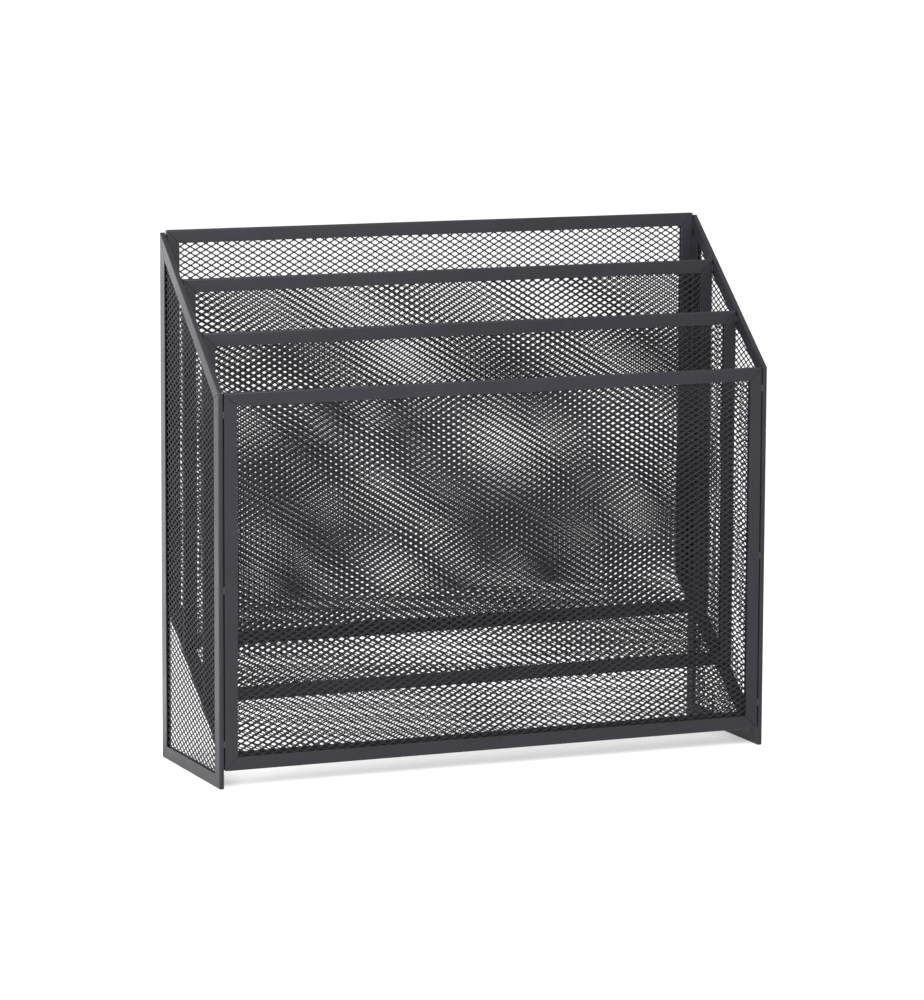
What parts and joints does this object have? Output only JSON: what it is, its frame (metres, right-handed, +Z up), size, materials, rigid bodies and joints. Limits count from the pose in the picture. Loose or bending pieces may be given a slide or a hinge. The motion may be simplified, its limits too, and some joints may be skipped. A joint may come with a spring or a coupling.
{
  "type": "desk organizer",
  "caption": "Upright desk file holder with pockets one behind another, made of flat expanded-metal mesh frames edged with folded steel strip, with a sloping floor and stepped tops.",
  "frame": {"origin": "on the desk, under the middle of the holder's outer box", "axes": "+X to the right across the holder's width, front facing -Y, +Z up"},
  "size_m": [0.33, 0.095, 0.298],
  "materials": {
    "strip_black": "satin black powder coat",
    "mesh_black": "satin black powder coat",
    "weld_black": "powder coat over a tack weld"
  },
  "bodies": {
    "root": {"left_side_bottom_rail": "strip_black", "left_side_rear_rail_lower": "strip_black", "left_side_rear_rail_upper": "strip_black", "left_side_slope_rail": "strip_black", "left_side_front_rail": "strip_black", "left_side_mesh": "mesh_black", "right_side_bottom_rail": "strip_black", "right_side_rear_rail_lower": "strip_black", "right_side_rear_rail_upper": "strip_black", "right_side_slope_rail": "strip_black", "right_side_front_rail": "strip_black", "right_side_mesh": "mesh_black", "front_bottom_rail_left": "strip_black", "front_bottom_rail_right": "strip_black", "front_right_stile": "strip_black", "front_top_rail": "strip_black", "front_left_stile": "strip_black", "front_mesh": "mesh_black", "front_divider_bottom_rail": "strip_black", "front_divider_right_stile": "strip_black", "front_divider_top_rail": "strip_black", "front_divider_left_stile": "strip_black", "front_divider_mesh": "mesh_black", "rear_divider_bottom_rail": "strip_black", "rear_divider_right_stile": "strip_black", "rear_divider_top_rail": "strip_black", "rear_divider_left_stile": "strip_black", "rear_divider_mesh": "mesh_black", "back_right_stile": "strip_black", "back_top_rail": "strip_black", "back_left_stile": "strip_black", "back_mesh": "mesh_black", "floor_front_rail": "strip_black", "floor_right_rail": "strip_black", "floor_left_rail": "strip_black", "floor_mesh": "mesh_black", "front_welds": "weld_black", "divider_welds": "weld_black", "back_welds": "weld_black", "floor_welds": "weld_black"}
  },
  "joints": []
}
